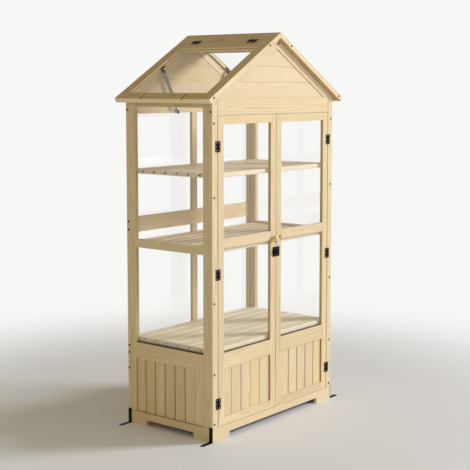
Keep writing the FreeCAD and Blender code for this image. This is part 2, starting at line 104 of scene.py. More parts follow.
print("pale pine", [round(v, 3) for v in colour("#EBD7B0")])

# %% [markdown]
# Materials and Geometry Nodes are both trees of nodes. One small function adds a node, sets its
# settings and fills its inputs: a number or colour is written into the socket, and an output of
# another node is linked to it. A node given as it is stands for its first output.

# %% Add a node
def add(tree, kind, inputs=None, **settings):
    node = tree.nodes.new(kind)
    for name, value in settings.items():
        setattr(node, name, value)
    for key, value in (inputs or {}).items():
        socket = node.inputs[key]
        if isinstance(value, bpy.types.Node):
            value = value.outputs[0]
        if isinstance(value, bpy.types.NodeSocket):
            tree.links.new(value, socket)
        else:
            socket.default_value = value
    return node


def new_material(name):
    material = bpy.data.materials.new(name)
    material.use_nodes = True
    material.node_tree.nodes.clear()
    return material, material.node_tree


def finish_material(tree, shader):
    add(tree, "ShaderNodeOutputMaterial", {"Surface": shader})


def ramp(tree, value, stops):
    node = add(tree, "ShaderNodeValToRGB", {"Fac": value})
    elements = node.color_ramp.elements
    while len(elements) < len(stops):
        elements.new(0.5)
    for element, (place, code) in zip(elements, stops):
        element.position = place
        element.color = colour(code)
    return node


def maths(tree, operation, a, b=0.0, c=0.0):
    return add(tree, "ShaderNodeMath", {0: a, 1: b, 2: c}, operation=operation)


def times(tree, value, factor, plus=0.0):
    return maths(tree, "MULTIPLY_ADD", value, factor, plus)


def stretched(tree, place, by):
    return add(tree, "ShaderNodeVectorMath", {0: place, 1: by}, operation="MULTIPLY")


def noise(tree, place, scale, detail):
    inputs = {"Vector": place, "Scale": scale, "Detail": detail}
    return add(tree, "ShaderNodeTexNoise", inputs)


def rise(tree, value, start, end, kind="LINEAR"):
    """0 where the value is at start or before it, and 1 from end on."""
    inputs = {"Value": value, "From Min": start, "From Max": end}
    return add(tree, "ShaderNodeMapRange", inputs, interpolation_type=kind)


# %% [markdown]
# ## Softwood
# Spruce and pine are sawn along the trunk. The growth rings are long nested tubes round the pith,
# 3 to 5 mm apart, pale where the tree grew in spring and darker where it grew in late summer. A
# face that cuts them shows straight lines or long arches, and a cut end shows arcs.
# A picture of grain would need unwrapping and be the same on every board, so the rings are a
# solid pattern. Each board carries its own coordinates in an attribute, the first axis along its
# grain, so its faces, edges and ends agree. A second attribute holds one random number per board,
# which moves its pith, tone and hue, because boards of one batch still differ a little.

# %% The softwood material
# Through each ring, late wood sets in between the first two parts of it and ends at the others.
RING_SPACING, LATE_START, LATE_END = 0.0042, (0.25, 0.86), (1.0, 0.90)
# One knot at most in a cell of this size, and none in four cells of five.
KNOT_CELL, KNOTLESS = Vector((0.42, 0.16, 0.5)), 0.80
# Where a knot's core starts and is full, where its pull on the rings does, and how far it pulls.
KNOT_CORE, KNOT_REACH, KNOT_PULL = (0.030, 0.018), (0.15, 0.02), 0.009
# Waves per metre, along the grain and across it, in the rings' drift, the fibres and the tone.
DRIFT, FIBRE, CLOUD = (1.6, 9.0, 9.0), (14.0, 620.0, 620.0), (3.0, 22.0, 22.0)
DRIFT_REACH = 0.030
# What chance sets for each board, as the range and the least value.
PITH_SIDE, PITH_DEPTH = (0.09, -0.045), (0.07, 0.018)
TONE, HUE, SATURATION = (0.10, 0.94), (0.014, 0.493), (0.18, 0.91)


def softwood(name, early, late, knot, gloss=0.56):
    material, tree = new_material(name)
    grain = add(tree, "ShaderNodeAttribute", attribute_name="grain").outputs["Vector"]
    board = add(tree, "ShaderNodeAttribute", attribute_name="board").outputs["Fac"]
    luck = add(tree, "ShaderNodeTexWhiteNoise", {"W": board}, noise_dimensions="1D")
    dice = add(tree, "ShaderNodeSeparateColor", {"Color": luck.outputs["Color"]}).outputs

    drift = noise(tree, stretched(tree, grain, DRIFT), 1.0, 2.0)
    wander = times(tree, maths(tree, "SUBTRACT", drift, 0.5), DRIFT_REACH)

    cells_at = stretched(tree, grain, tuple(1 / v for v in KNOT_CELL))
    cells = add(tree, "ShaderNodeTexVoronoi", {"Vector": cells_at, "Scale": 1.0})
    rare = add(tree, "ShaderNodeSeparateColor", {"Color": cells.outputs["Color"]})
    rarely = maths(tree, "GREATER_THAN", rare, KNOTLESS)
    knot_core = rise(tree, cells, *KNOT_CORE)
    knot_pull = rise(tree, cells, *KNOT_REACH, "SMOOTHSTEP")
    core = times(tree, knot_core, rarely)
    pull = times(tree, times(tree, knot_pull, rarely), KNOT_PULL)

    along = add(tree, "ShaderNodeSeparateXYZ", {"Vector": grain}).outputs
    pith_side = times(tree, dice[0], *PITH_SIDE)
    pith_depth = times(tree, dice[1], *PITH_DEPTH)
    v = maths(tree, "POWER", maths(tree, "ADD", along[1], pith_side), 2.0)
    w = maths(tree, "POWER", maths(tree, "ADD", along[2], pith_depth), 2.0)
    from_pith = maths(tree, "SQRT", maths(tree, "ADD", v, w))
    radius = maths(tree, "ADD", maths(tree, "ADD", from_pith, wander), pull)
    ring = maths(tree, "FRACT", maths(tree, "DIVIDE", radius, RING_SPACING))
    late_wood = rise(tree, ring, *LATE_START, "SMOOTHERSTEP")
    rings = times(tree, late_wood, rise(tree, ring, *LATE_END))

    fibre = noise(tree, stretched(tree, grain, FIBRE), 1.0, 3.0)
    cloud = noise(tree, stretched(tree, grain, CLOUD), 1.0, 2.0)

    depth = times(tree, fibre, 0.35, times(tree, rings, 0.62))
    wood = ramp(tree, maths(tree, "SUBTRACT", depth, 0.10), [(0.0, early), (0.85, late)])
    # A mix node has sockets for each kind of value, and these are its colours.
    first, second, mixed = 6, 7, 2
    knotty = add(tree, "ShaderNodeMix", {
        "Factor": core, first: wood, second: colour(knot)}, data_type="RGBA")
    tone = times(tree, dice[2], *TONE)
    mottle = times(tree, cloud, 0.14, -0.07)
    toned = add(tree, "ShaderNodeHueSaturation", {
        "Color": knotty.outputs[mixed], "Value": maths(tree, "ADD", tone, mottle),
        "Hue": times(tree, dice[1], *HUE), "Saturation": times(tree, dice[0], *SATURATION)})
    rough = times(tree, fibre, 0.16, gloss - 0.08)
    relief = times(tree, rings, 0.6, fibre)
    bump = add(tree, "ShaderNodeBump", {"Height": relief, "Strength": 0.25, "Distance": 0.00025})
    shader = add(tree, "ShaderNodeBsdfPrincipled", {
        "Base Color": toned, "Roughness": rough, "Normal": bump, "Specular IOR Level": 0.22})
    finish_material(tree, shader)
    return material


# %% The softwoods
# Planed and unfinished: pale honey with a soft sheen, and a few small knots.
PLANED_SPRUCE = softwood("planed_spruce_frame", "#E9D8B4", "#DEC698", "#8A5B33")
MATCHED_BOARDS = softwood("planed_spruce_boards", "#E9D8B4", "#DBC294", "#855630")
# Painted light: the shelves are paler, for the light that reaches them inside.
SHELF_BOARDS = softwood("pale_spruce_shelves", "#F1E3C6", "#E4CDA4", "#8B5E38")
# Painted shade: the roof's top faces are a darker brown for the shade on them, and a little duller.
SHADED_ROOF_SPRUCE = softwood("weathered_spruce_roof", "#CFB98B", "#B99D6D", "#7A5230", gloss=0.62)
# Painted light: nearly cream, for the faces that catch more light, such as the lids' edges and
# eaves, the shelves' fronts and the bottom shelf.
LIT_EDGE_SPRUCE = softwood("fresh_sawn_spruce_edges", "#FAEFD4", "#F0DDB3", "#94643A", gloss=0.62)
# Painted highlight: the bottom shelf's eased edges are almost white, so each joint is a thin
# bright line.
HIGHLIGHT_EDGE = softwood("spruce_fresh_on_eased_edges", "#FFFDF0", "#FFF6DF", "#C79A66", gloss=0.6)
# Painted shade for the joints, gaps and ledges: light brown where they are open, almost black deep
# inside.
SHADED_JOINT = softwood("spruce_darkened_in_joints", "#BD9C6C", "#A9885A", "#7B5230", gloss=0.7)
SHELF_JOINT = softwood("spruce_soiled_in_shelf_joints", "#A4845A", "#8E6E45", "#67482A", gloss=0.7)
OPEN_GROOVE = softwood("spruce_deep_in_grooves", "#35271A", "#281C11", "#20160D", gloss=0.75)
# The drain kerfs are a darker brown.
DARK_KERF = softwood("water_stained_spruce_kerf", "#5F4226", "#48301A", "#352110", gloss=0.7)
print("softwoods:", PLANED_SPRUCE.name, MATCHED_BOARDS.name, SHADED_ROOF_SPRUCE.name)

# %% [markdown]
# ## The other finishes
# The windows are clear acrylic sheet: glass-smooth, index 1.49, with no colour of their own. A
# path tracer lets little light through it, so lamp and diffuse rays pass it straight, and the
# inside is as bright as it really is.
# The lids are seen at a grazing angle, where that sheet would mirror the whole sky and hide the
# struts below it. Theirs hardly mirrors anything, as an anti-glare coating does. On a clear shader
# only the index sets how much is mirrored, so this sheet gets a far lower one.
# Hinges, latch, brackets and anchors are powder coated steel. Their screws and those in the wood
# are black phosphated steel, but the hinges have bright zinc ones. The struts are painted tubes
# with a polished rod and fittings of moulded nylon.

# %% Sheet, powder coat and metal
PATCHES = 60.0  # waves per metre in the slow change of tone


def clear_sheet(name, index):
    material, tree = new_material(name)
    rays = add(tree, "ShaderNodeLightPath").outputs
    passes = maths(tree, "MAXIMUM", rays["Is Shadow Ray"], rays["Is Diffuse Ray"])
    sheet = add(tree, "ShaderNodeBsdfPrincipled", {
        "Base Color": colour("#FFFFFF"), "Roughness": 0.01, "IOR": index,
        "Transmission Weight": 1.0})
    through = add(tree, "ShaderNodeBsdfTransparent", {"Color": colour("#FBFCFB")})
    mix = add(tree, "ShaderNodeMixShader", {0: passes, 1: sheet, 2: through})
    finish_material(tree, mix)
    return material


def coated(name, code, metallic, roughness, grit_mm, depth_mm, sheen=0.5):
    material, tree = new_material(name)
    place = add(tree, "ShaderNodeTexCoord").outputs["Object"]
    grit = noise(tree, place, 1000 / grit_mm, 3.0)
    patch = noise(tree, place, PATCHES, 2.0)
    shade = add(tree, "ShaderNodeHueSaturation", {
        "Color": colour(code), "Value": times(tree, patch, 0.3, 0.85)})
    rough = times(tree, grit, 0.18, roughness - 0.09)
    bump = add(tree, "ShaderNodeBump", {
        "Height": grit, "Strength": 0.5, "Distance": depth_mm / 1000})
    shader = add(tree, "ShaderNodeBsdfPrincipled", {
        "Base Color": shade, "Metallic": metallic, "Roughness": rough,
        "Normal": bump, "Specular IOR Level": sheen})
    finish_material(tree, shader)
    return material


# Nothing of the sheet itself is seen, only a thin mirror of the sky on it.
CLEAR_SHEET = clear_sheet("clear_acrylic_sheet", 1.49)
ROOF_SHEET = clear_sheet("anti_glare_acrylic_roof_sheet", 1.10)
# Baked powder is a fine black pebble with hardly a highlight.
BLACK_POWDER = coated("black_powder_coated_steel", "#0C0B0A", 0.0, 0.6, 0.7, 0.05, sheen=0.15)
# Phosphate is a matt, oily black, and bright zinc glints like silver.
BLACK_SCREW = coated("black_phosphated_steel", "#0B0908", 0.0, 0.6, 0.5, 0.03, sheen=0.2)
ZINC_SCREW = coated("zinc_plated_steel", "#CFC6B2", 0.75, 0.38, 0.5, 0.02)
# The tube is a satin grey with a long soft highlight, and the rod in it is nearly a mirror.
STRUT_PAINT = coated("grey_painted_strut_tube", "#A39D92", 0.75, 0.24, 0.6, 0.01)
STRUT_ROD = coated("polished_strut_rod", "#B9B7B1", 0.85, 0.22, 1.5, 0.003)
# Moulded nylon is black too, but smoother, so its edges shine a little.
BLACK_NYLON = coated("black_moulded_nylon", "#191919", 0.0, 0.5, 1.0, 0.02)
print("finishes:", ", ".join(m.name for m in (CLEAR_SHEET, BLACK_POWDER, BLACK_SCREW, STRUT_PAINT)))

# %% [markdown]
# ## Timbers
# Each CAD timber has the right shape, but its arrises are perfectly sharp, and real planed timber
# has them eased, so they catch light. A node's solids are copied, their loose triangles merged and
# rebuilt as flat faces, and a Bevel modifier eases the arrises. The copy then stands for the node,
# with its grain along whichever way each solid is longest.
# Two solids that touch share places, and merging those would weld a rail to its stile. But a
# solid's triangles follow one another, so each solid is found first and merged on its own.

# %% Grain along each timber
PITCH = math.radians(30.5)
X, Y, Z = Vector((1, 0, 0)), Vector((0, 1, 0)), Vector((0, 0, 1))
RIGHT_SLOPE = Vector((math.cos(PITCH), 0, -math.sin(PITCH)))
LEFT_SLOPE = Vector((-math.cos(PITCH), 0, -math.sin(PITCH)))
ROOF_ABOVE = 1.6
chance = random.Random(11)


def spread(points, direction):
    reach = points @ np.array(direction)
    return float(reach.max() - reach.min()), float(reach.max() + reach.min()) / 2


def grain_axes(points):
    run = max((X, Y, Z, RIGHT_SLOPE, LEFT_SLOPE), key=lambda d: spread(points, d)[0])
    if run in (RIGHT_SLOPE, LEFT_SLOPE):
        others = [Y, run.cross(Y)]
    elif run == Y and points[:, 2].min() > ROOF_ABOVE:
        slope = RIGHT_SLOPE if points[:, 0].mean() > 0 else LEFT_SLOPE
        others = [slope, slope.cross(Y)]
    else:
        others = [d for d in (X, Y, Z) if d != run]
    others.sort(key=lambda d: -spread(points, d)[0])
    return [run] + others


def store(mesh, name, values):
    """Keeps a number or a vector for each vertex, where a material or a tree can read it."""
    kind, field = ("FLOAT_VECTOR", "vector") if np.ndim(values) > 1 else ("FLOAT", "value")
    mesh.attributes.new(name, kind, "POINT").data.foreach_set(field, np.ravel(values))


def grow(mesh, groups):
    places = np.array([v.co for v in mesh.vertices])
    grain = np.zeros_like(places)
    board = np.zeros(len(places))
    for group in groups:
        points = places[group]
        start = chance.uniform(0, 40)
        flip = chance.choice((-1, 1))
        for i, axis in enumerate(grain_axes(points)):
            middle = spread(points, axis)[1]
            grain[group, i] = (points @ np.array(axis) - middle) * (flip if i == 2 else 1)
        grain[group, 0] += start
        board[group] = chance.random()
    store(mesh, "grain", grain)
    store(mesh, "board", board)


def loose_groups(mesh):
    parent = list(range(len(mesh.vertices)))

    def root(i):
        while parent[i] != i:
            parent[i] = parent[parent[i]]
            i = parent[i]
        return i

    for edge in mesh.edges:
        a, b = (root(i) for i in edge.vertices)
        parent[a] = b
    groups = {}
    for i in range(len(parent)):
        groups.setdefault(root(i), []).append(i)
    return list(groups.values())


print("slopes", [round(v, 3) for v in RIGHT_SLOPE])

# %% Copy a node with eased edges
# Faces that meet at less than the first angle are one plane, and at more than the other an arris.
ONE_PLANE, ARRIS = math.radians(0.5), math.radians(35)


@contextmanager
def edited(mesh):
    """Opens a mesh in bmesh, and writes it back."""
    work = bmesh.new()
    work.from_mesh(mesh)
    yield work
    work.to_mesh(mesh)
    work.free()


def solids_of(mesh):
    """The vertices of each solid. It is whole when every edge of its triangles has met twice."""
    places = [tuple(round(c * 1e6) for c in v.co) for v in mesh.vertices]
    unmet, own, found = set(), set(), []
    for face in mesh.polygons:
        own.update(face.vertices)
        corners = [places[i] for i in face.vertices]
        for a, b in zip(corners, corners[1:] + corners[:1]):
            unmet ^= {(min(a, b), max(a, b))}
        if not unmet:
            found.append(own)
            own = set()
    return found + ([own] if own else [])


def clean_copy(node):
    mesh = nodes[node].data.copy()
    mesh.materials.clear()
    with edited(mesh) as work:
        work.verts.ensure_lookup_table()
        solids = [[work.verts[i] for i in own] for own in solids_of(mesh)]
        for solid in solids:
            bmesh.ops.remove_doubles(work, verts=solid, dist=1e-6)
        bmesh.ops.dissolve_limit(work, angle_limit=ONE_PLANE, verts=work.verts, edges=work.edges)
        for face in work.faces:
            face.smooth = True
    for name in ("custom_normal", "sharp_edge"):
        if name in mesh.attributes:
            mesh.attributes.remove(mesh.attributes[name])
    return mesh


def settle(piece):
    """Applies a piece's modifiers and keeps the result as its own plain mesh."""
    seen = piece.evaluated_get(bpy.context.evaluated_depsgraph_get())
    mesh = bpy.data.meshes.new_from_object(seen)
    piece.modifiers.clear()
    piece.data = mesh
    return mesh


def set_materials(mesh, *materials):
    mesh.materials.clear()
    for material in materials:
        mesh.materials.append(material)


def new_piece(name, data, material=None):
    piece = bpy.data.objects.new(name, data)
    bpy.context.scene.collection.objects.link(piece)
    if material:
        set_materials(data, material)
    return piece


def stand_for(piece, node):
    """Shows the piece in place of a CAD node, on the same body."""
    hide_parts(node)
    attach(piece, nodes[node]["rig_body"])
    return piece


def dress(node, material, easing, segments=2):
    piece = new_piece(node + "_dressed", clean_copy(node), material)
    bevel = piece.modifiers.new("eased", "BEVEL")
    bevel.width = easing
    bevel.segments = segments
    bevel.limit_method = "ANGLE"
    bevel.angle_limit = ARRIS
    even = piece.modifiers.new("even_shading", "WEIGHTED_NORMAL")
    even.weight = 100
    settle(piece)
    return stand_for(piece, node)


def dress_wood(node, material, easing):
    piece = dress(node, material, easing)
    grow(piece.data, loose_groups(piece.data))
    return piece


TIMBER_EASING, GABLE_EASING, STEEL_EASING = 0.0016, 0.0007, 0.00025
slot_of = {s["node"]: s["material_slot"] for s in frame["record"]["subparts"]}
wood_nodes = [n for n in nodes if slot_of[n].startswith("softwood")]
print(len(wood_nodes), "nodes of wood")

# %% [markdown]
# ### The roof
# The lids and ridge boards have their tops painted a darker brown, as shade, and their edges and
# eaves painted nearly cream, as light. Their front and back ends keep the plain wood, and the kerfs
# that drain the lids' lower rails are a darker brown. Each face takes its material by the way it
# looks and by its depth below the roof's plane. The front and back ends move in by a millimetre,
# which leaves room for the screw heads on them.

# %% The roof's faces
END_SINK, END_REACH = 0.0010, 0.005
DRAIN_REACH, KERF_FLOOR, KERF_AREA, ROOF_SKIN = 0.15, 0.0055, 0.001, 0.0005
RIDGE, half_roof = cad_box[1][2], cad_box[1][1]
RIDGE_LINE = Vector((0, 0, RIDGE))
# How far a face looks one way, as a cosine: from SQUARELY on it faces it, below ASIDE it doesn't.
SQUARELY, ASIDE = 0.9, 0.5


def roof_side(face):
    """The way out of the roof on the face's side, and how far the face is above its plane."""
    outer = Vector((math.copysign(math.sin(PITCH), face.center.x), 0, math.cos(PITCH)))
    return outer, (face.center - RIDGE_LINE).dot(outer)


def dress_roof(node):
    """A lid frame or ridge board: its top painted shade, its edges painted light, its kerfs darker.
    """
    piece = dress_wood(node, SHADED_ROOF_SPRUCE, TIMBER_EASING)
    set_materials(piece.data, SHADED_ROOF_SPRUCE, PLANED_SPRUCE, DARK_KERF, LIT_EDGE_SPRUCE)
    planed, kerf_dark, painted_lit = 1, 2, 3
    for face in piece.data.polygons:
        outer, above = roof_side(face)
        lean = face.normal.dot(outer)
        crosswise = abs(face.normal.y) > SQUARELY
        small = face.area < KERF_AREA and above < -ROOF_SKIN
        in_kerf = small and abs(face.center.y) < DRAIN_REACH
        if in_kerf and above > -KERF_FLOOR and abs(lean) < ASIDE:
            face.material_index = kerf_dark if crosswise else planed
        elif in_kerf and lean > SQUARELY:
            face.material_index = kerf_dark
        elif abs(lean) < ASIDE:
            at_end = crosswise and abs(face.center.y) > half_roof - END_REACH
            face.material_index = planed if at_end else painted_lit
    for vertex in piece.data.vertices:
        if abs(vertex.co.y) > half_roof - END_SINK:
            vertex.co.y = math.copysign(half_roof - END_SINK, vertex.co.y)


print("roof's ridge at", round(RIDGE_LINE.z, 3))

# %% [markdown]
# ### Painted shade in the joints
# What tells one board from the next in daylight is the dark line between them, the shade in the
# gap. That shade is painted: the faces along the doors' gaps, on the sills and ledges, beside the
# boarded panels and in the joints of the gables that face away from the light get a darker wood.
# Where only a part of a long face is shaded, bmesh cuts it across first.

# %% Faces painted with shade
DOOR_LOW, DOOR_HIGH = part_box("door_left_frame")
GAP_REACH = 0.004
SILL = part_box("shelf_bottom")[0].z
LEDGES = {"panel_rail": 0.414, "base_rail": 0.066}
# The axis across the stiles, where their inner faces are on it, and the panel's foot and head.
SIDE_PANEL = (1, (0.21, 0.22), (0.066, 0.334))
DOOR_PANEL = (0, (0.03, 0.42), (0.105, 0.341))
RAKE_JOINT = -0.066


def is_eased(lean):
    """Whether a face lies askew, as on an eased arris. lean is how far it looks one way."""
    return 0.2 < lean < 0.97


def repaint(piece, material, chosen):
    """Gives another material to the faces that chosen picks out."""
    piece.data.materials.append(material)
    for face in piece.data.polygons:
        if chosen(face):
            face.material_index = len(piece.data.materials) - 1


def shade_ledge(piece, height):
    """Paints shade, nearly black, on the narrow ledge in front of a pane or panel."""
    repaint(piece, OPEN_GROOVE, lambda face: (
        face.normal.z > SQUARELY and abs(face.center.z - height) < 0.001))


def shade_panel_edge(piece, panel):
    """Paints shade on the stiles' inner faces beside the boarded panel, which keeps light off them.
    """
    axis, (near, far), (low, high) = panel
    with edited(piece.data) as work:
        for height in (low, high):
            bmesh.ops.bisect_plane(
                work, geom=work.verts[:] + work.edges[:] + work.faces[:],
                plane_co=(0, 0, height), plane_no=Z)
    repaint(piece, SHADED_JOINT, lambda face: (
        abs(face.normal[axis]) > SQUARELY and near < abs(face.center[axis]) < far
        and low < face.center.z < high))


def shade_rake_joint(piece, inside):
    """Paints shade, nearly black, on the arris or step where boards meet the right-hand rakes."""
    def in_rake_shade(face):
        outer, above = roof_side(face)
        arris = inside and is_eased(abs(face.normal.y))
        step = not inside and face.normal.dot(outer) < -SQUARELY
        return (arris or step) and face.center.x > 0 and abs(above - RAKE_JOINT) < 0.003

    repaint(piece, OPEN_GROOVE, in_rake_shade)


def shade_door_gaps(piece):
    """Paints shade on the arrises along the doors' gaps, brown along the top and nearly black up
    the sides, and nearly black on the sill under a pane.
    """
    set_materials(piece.data, PLANED_SPRUCE, SHELF_JOINT, OPEN_GROOVE)
    brown_shade, black = 1, 2
    for face in piece.data.polygons:
        at, way = face.center, face.normal
        eased = is_eased(-way.y)
        beside = min(abs(at.x), abs(abs(at.x) + DOOR_LOW.x)) < GAP_REACH
        upright = eased and beside and abs(way.x) > 0.2
        level = eased and abs(way.z) > 0.2 and abs(at.z - DOOR_HIGH.z) < GAP_REACH
        under_pane = way.z > SQUARELY and abs(at.z - SILL) < 0.002
        if upright or level or under_pane:
            face.material_index = black if upright or under_pane else brown_shade


print("ledges:", ", ".join(LEDGES))

# %% [markdown]
# The frames, rakes, ridge boards, gable boards and lids are dressed in this way. The boards of
# the panels and shelves and the knobs come later, each by its own method.

# %% Dress the framing
board_nodes = [
    "side_left_boards", "side_right_boards", "back_boards", "door_left_boards", "door_right_boards"]
shelf_nodes = ["shelf_bottom", "shelf_middle", "shelf_top"]
knob_nodes = ["door_left_knob", "door_right_knob"]
for node in wood_nodes:
    if node in board_nodes + shelf_nodes + knob_nodes:
        continue
    if slot_of[node] == "softwood_roof":
        dress_roof(node)
        continue
    piece = dress_wood(node, PLANED_SPRUCE, GABLE_EASING if "gable" in node else TIMBER_EASING)
    of_door, of_side = node.startswith("door"), node.startswith("side")
    # Painted shade on the doors' gaps, the ledges, the stiles beside the panels and the rake
    # joints.
    if of_door or node == "front_posts":
        shade_door_gaps(piece)
    for rail, height in LEDGES.items():
        if of_side and node.endswith(rail):
            shade_ledge(piece, height)
    if of_side and node.endswith("stiles"):
        shade_panel_edge(piece, SIDE_PANEL)
    if of_door:
        shade_panel_edge(piece, DOOR_PANEL)
    if node in ("back_rakes", "back_gable_boards", "front_rakes"):
        shade_rake_joint(piece, node.startswith("back"))
print("framing dressed; boards to make:", board_nodes + shelf_nodes)

# %% [markdown]
# ## Rows of matched boards
# The lower panels and the shelves are tongue and groove boards of one width, side by side. What
# shows is each board's face, the vee where two meet, and at the shelves' ends the groove with the
# tongue in it. That is a rule, so Geometry Nodes makes it: an eased rectangle is swept to a board,
# one board is put at each point of a line, and the last is widened to fill the room. A Boolean
# cuts the grooves along the joints, and a thin strip in each is the tongue. The row is made flat
# and then turned into its place. Each board is a loose part by then, so it gets its own grain and
# random number. The vees get painted shade, on the bottom shelf a painted highlight instead, and
# some joints in the panels, picked by chance, are left plain.

# %% The board row tree
def group_tree(name, sockets):
    tree = bpy.data.node_groups.new(name, "GeometryNodeTree")
    for label, kind in [("Geometry", "Geometry"), *sockets.items()]:
        tree.interface.new_socket(label, in_out="INPUT", socket_type="NodeSocket" + kind)
    tree.interface.new_socket("Geometry", in_out="OUTPUT", socket_type="NodeSocketGeometry")
    return tree, add(tree, "NodeGroupInput").outputs


def vector(tree, x=0.0, y=0.0, z=0.0):
    return add(tree, "ShaderNodeCombineXYZ", {0: x, 1: y, 2: z})


def board_row_tree():
    sizes = (
        "Length", "Cover", "Last Cover", "Thickness", "Easing", "Joint", "Groove", "Groove Depth")
    tree, given = group_tree("board_row", {
        **dict.fromkeys(sizes, "Float"), "Count": "Int", "Wood": "Material"})
    cover, length = given["Cover"], given["Length"]
    section = add(tree, "GeometryNodeCurvePrimitiveQuadrilateral", {
        "Width": maths(tree, "SUBTRACT", cover, given["Joint"]), "Height": given["Thickness"]})
    eased = add(tree, "GeometryNodeFilletCurve", {
        "Curve": section, "Radius": given["Easing"], "Count": 2,
        "Limit Radius": True}, mode="POLY")
    half = times(tree, length, 0.5)
    spine = add(tree, "GeometryNodeCurvePrimitiveLine", {
        "Start": vector(tree, x=times(tree, half, -1.0)), "End": vector(tree, x=half)})
    swept = add(tree, "GeometryNodeCurveToMesh", {
        "Curve": spine, "Profile Curve": eased, "Fill Caps": True})
    line = add(tree, "GeometryNodeMeshLine", {
        "Count": given["Count"], "Offset": vector(tree, y=cover),
        "Start Location": vector(tree, y=times(tree, cover, 0.5))})
    index = add(tree, "GeometryNodeInputIndex")
    last = maths(tree, "COMPARE", index, maths(tree, "SUBTRACT", given["Count"], 1.0), 0.5)
    spare = maths(tree, "SUBTRACT", given["Last Cover"], cover)
    shift = vector(tree, y=times(tree, spare, times(tree, last, 0.5)))
    moved = add(tree, "GeometryNodeSetPosition", {"Geometry": line, "Offset": shift})
    widen = times(tree, last, maths(tree, "DIVIDE", spare, cover))
    rows = add(tree, "GeometryNodeInstanceOnPoints", {
        "Points": moved, "Instance": swept,
        "Scale": vector(tree, 1.0, maths(tree, "ADD", widen, 1.0), 1.0)})
    boards = add(tree, "GeometryNodeRealizeInstances", {"Geometry": rows})

    def at_joints(width, length, height, shift):
        strip = add(tree, "GeometryNodeMeshCube", {"Size": vector(tree, length, width, height)})
        beside = vector(tree, y=times(tree, cover, -0.5, shift))
        moved = add(tree, "GeometryNodeTransform", {"Geometry": strip, "Translation": beside})
        strips = add(tree, "GeometryNodeInstanceOnPoints", {
            "Points": line, "Instance": moved,
            "Selection": maths(tree, "GREATER_THAN", index, 0.5)})
        return add(tree, "GeometryNodeRealizeInstances", {"Geometry": strips})

    deep, groove = given["Groove Depth"], given["Groove"]
    slots = at_joints(times(tree, deep, 2.0), times(tree, length, 1.1), groove, 0.0)
    snug = times(tree, groove, 0.9)
    tongues = at_joints(deep, length, snug, times(tree, deep, -0.45))
    grooved = add(tree, "GeometryNodeMeshBoolean", {
        "Mesh 1": boards, "Mesh 2": slots}, operation="DIFFERENCE", solver="EXACT")
    whole = add(tree, "GeometryNodeJoinGeometry", {"Geometry": grooved})
    tree.links.new(tongues.outputs[0], whole.inputs[0])
    dressed = add(tree, "GeometryNodeSetMaterial", {"Geometry": whole, "Material": given["Wood"]})
    add(tree, "NodeGroupOutput", {"Geometry": dressed})
    return tree


BOARD_ROW = board_row_tree()
print("board row inputs:", [s.name for s in BOARD_ROW.interface.items_tree if s.in_out == "INPUT"])

# %% Run a tree on a piece
def run_tree(piece, tree, values):
    modifier = piece.modifiers.new(tree.name, "NODES")
    modifier.node_group = tree
    for item in tree.interface.items_tree:
        if item.in_out == "INPUT" and item.name in values:
            modifier[item.identifier] = values[item.name]
    piece.update_tag()
    bpy.context.view_layer.update()
    return settle(piece)


SHELF_FRONT, PLAIN_SHARE = -0.25, 0.3


def board_row(node, cover, across, up, shape):
    """A node's boards. across and up are the ways that the row and each board run."""
    easing, joint, groove, depth, wood, dark = shape
    low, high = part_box(node)
    size = high - low
    wide, tall = abs(size.dot(across)), abs(size.dot(up))
    count = round(wide / cover)
    corner = (low + high) / 2 - across * (wide / 2) - up * (tall / 2)
    plain_joints = {number for number in range(1, count) if chance.random() < PLAIN_SHARE}
    piece = new_piece(node + "_row", bpy.data.meshes.new(node + "_row"))
    mesh = run_tree(piece, BOARD_ROW, {
        "Length": tall, "Cover": cover, "Last Cover": wide - cover * (count - 1), "Count": count,
        "Thickness": size.x + size.y + size.z - wide - tall, "Easing": easing, "Joint": joint,
        "Groove": groove, "Groove Depth": depth, "Wood": wood})
    normal = up.cross(across)
    turn = Matrix((up, across, normal)).transposed().to_4x4()
    mesh.transform(Matrix.Translation(corner + up * (tall / 2)) @ turn)
    grow(mesh, loose_groups(mesh))
    set_materials(mesh, wood, dark, OPEN_GROOVE, LIT_EDGE_SPRUCE)
    # Painted light on the shelves' fronts; painted shade under their front arrises, deep in the
    # grooves and on the vees, except on the bottom shelf, whose vees get a painted highlight.
    plain, painted_joint, black, painted_lit = range(4)
    for face in mesh.polygons:
        face.material_index = plain
        if node in shelf_nodes and face.center.y < SHELF_FRONT:
            front, below = face.normal.y < -SQUARELY, face.normal.z < -0.3
            face.material_index = painted_lit if front else black if below else plain
        at = face.center.dot(across) - corner.dot(across)
        number = min(max(round(at / cover), 1), count - 1)
        inside = abs((face.center - corner).dot(normal)) < groove * 0.6
        deep = inside and not abs(face.normal.dot(up)) > SQUARELY
        near = abs(at - cover * number) < (depth * 1.1 if deep else easing + joint)
        if near and (deep or abs(face.normal.dot(across)) > 0.3):
            left_plain = number in plain_joints and wood == MATCHED_BOARDS
            face.material_index = black if deep else plain if left_plain else painted_joint
    mesh.shade_flat()
    return stand_for(piece, node)


# %% Lay the rows
# Easing of the edges, gap, height and depth of the groove, wood, and what the joints look like.
# Painted shade in the panels' and shelves' joints; the bottom shelf is painted light all over, with
# a painted highlight on each joint.
PANEL_BOARD = (0.0022, 0.0018, 0.004, 0.005, MATCHED_BOARDS, SHADED_JOINT)
SHELF_BOARD = (0.0035, 0.0032, 0.008, 0.012, SHELF_BOARDS, SHELF_JOINT)
BASE_BOARD = (0.0042, 0.0012, 0.006, 0.008, LIT_EDGE_SPRUCE, HIGHLIGHT_EDGE)
SHELF_COVER = 0.0725
